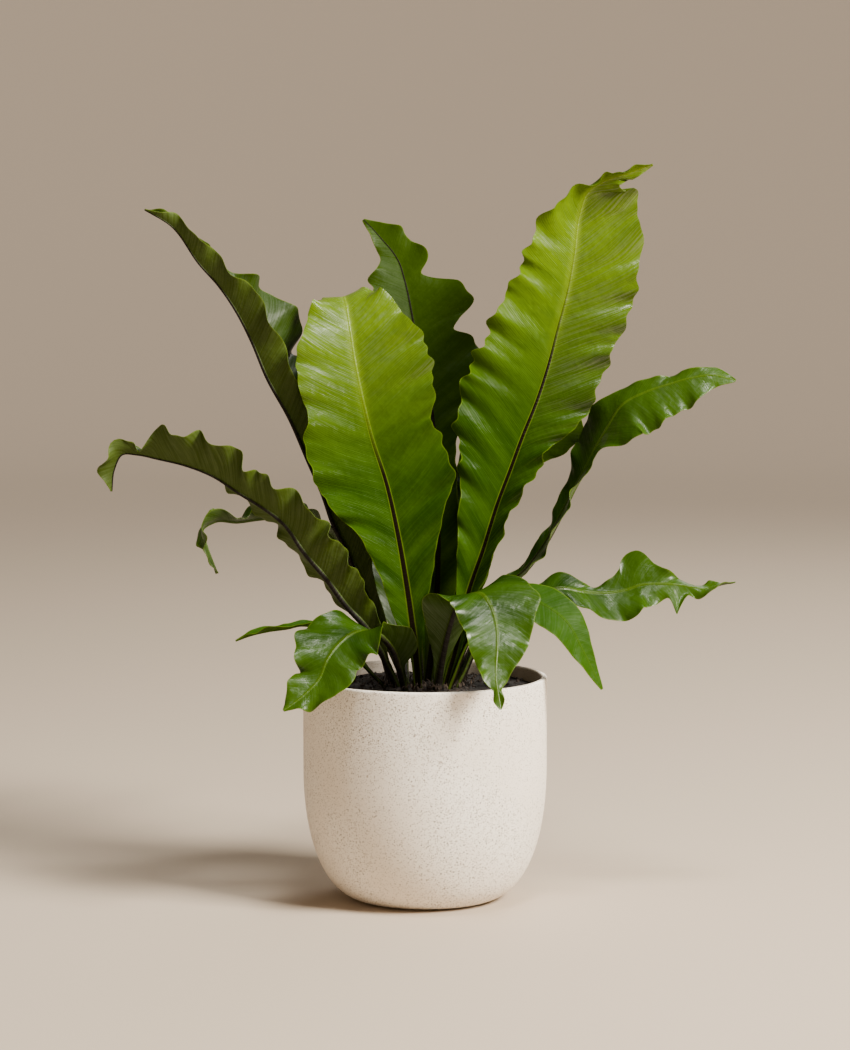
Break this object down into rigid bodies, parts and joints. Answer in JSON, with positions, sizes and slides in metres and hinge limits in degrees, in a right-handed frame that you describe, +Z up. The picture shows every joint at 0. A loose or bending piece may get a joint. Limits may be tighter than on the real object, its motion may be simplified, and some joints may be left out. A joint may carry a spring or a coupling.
{
  "type": "potted fern",
  "caption": "Bird's-nest fern with long ruffled fronds rising from one crown, in a round-bottomed speckled stoneware pot with a narrow rim.",
  "frame": {"origin": "on the surface the pot stands on, on the pot's axis", "axes": "+Z up along the pot's axis, -Y towards the plant's front, +X towards its tallest frond"},
  "size_m": [0.4669, 0.3462, 0.5407],
  "materials": {
    "stoneware": "matte",
    "earth": "matte",
    "rootstock": "matte",
    "leaf": "satin"
  },
  "bodies": {
    "root": {"pot": "stoneware", "soil": "earth", "crown": "rootstock", "frond_front_left": "leaf", "frond_tall": "leaf", "frond_lobed": "leaf", "frond_left_tall": "leaf", "frond_left_arching": "leaf", "frond_left_back": "leaf", "frond_left_small": "leaf", "frond_front_low": "leaf", "frond_front_right": "leaf", "frond_right_pointed": "leaf", "frond_right_low": "leaf", "frond_right_tall": "leaf", "frond_right_back": "leaf", "frond_back_left": "leaf", "frond_back_right": "leaf", "frond_back": "leaf", "frond_back_low": "leaf"}
  },
  "joints": []
}
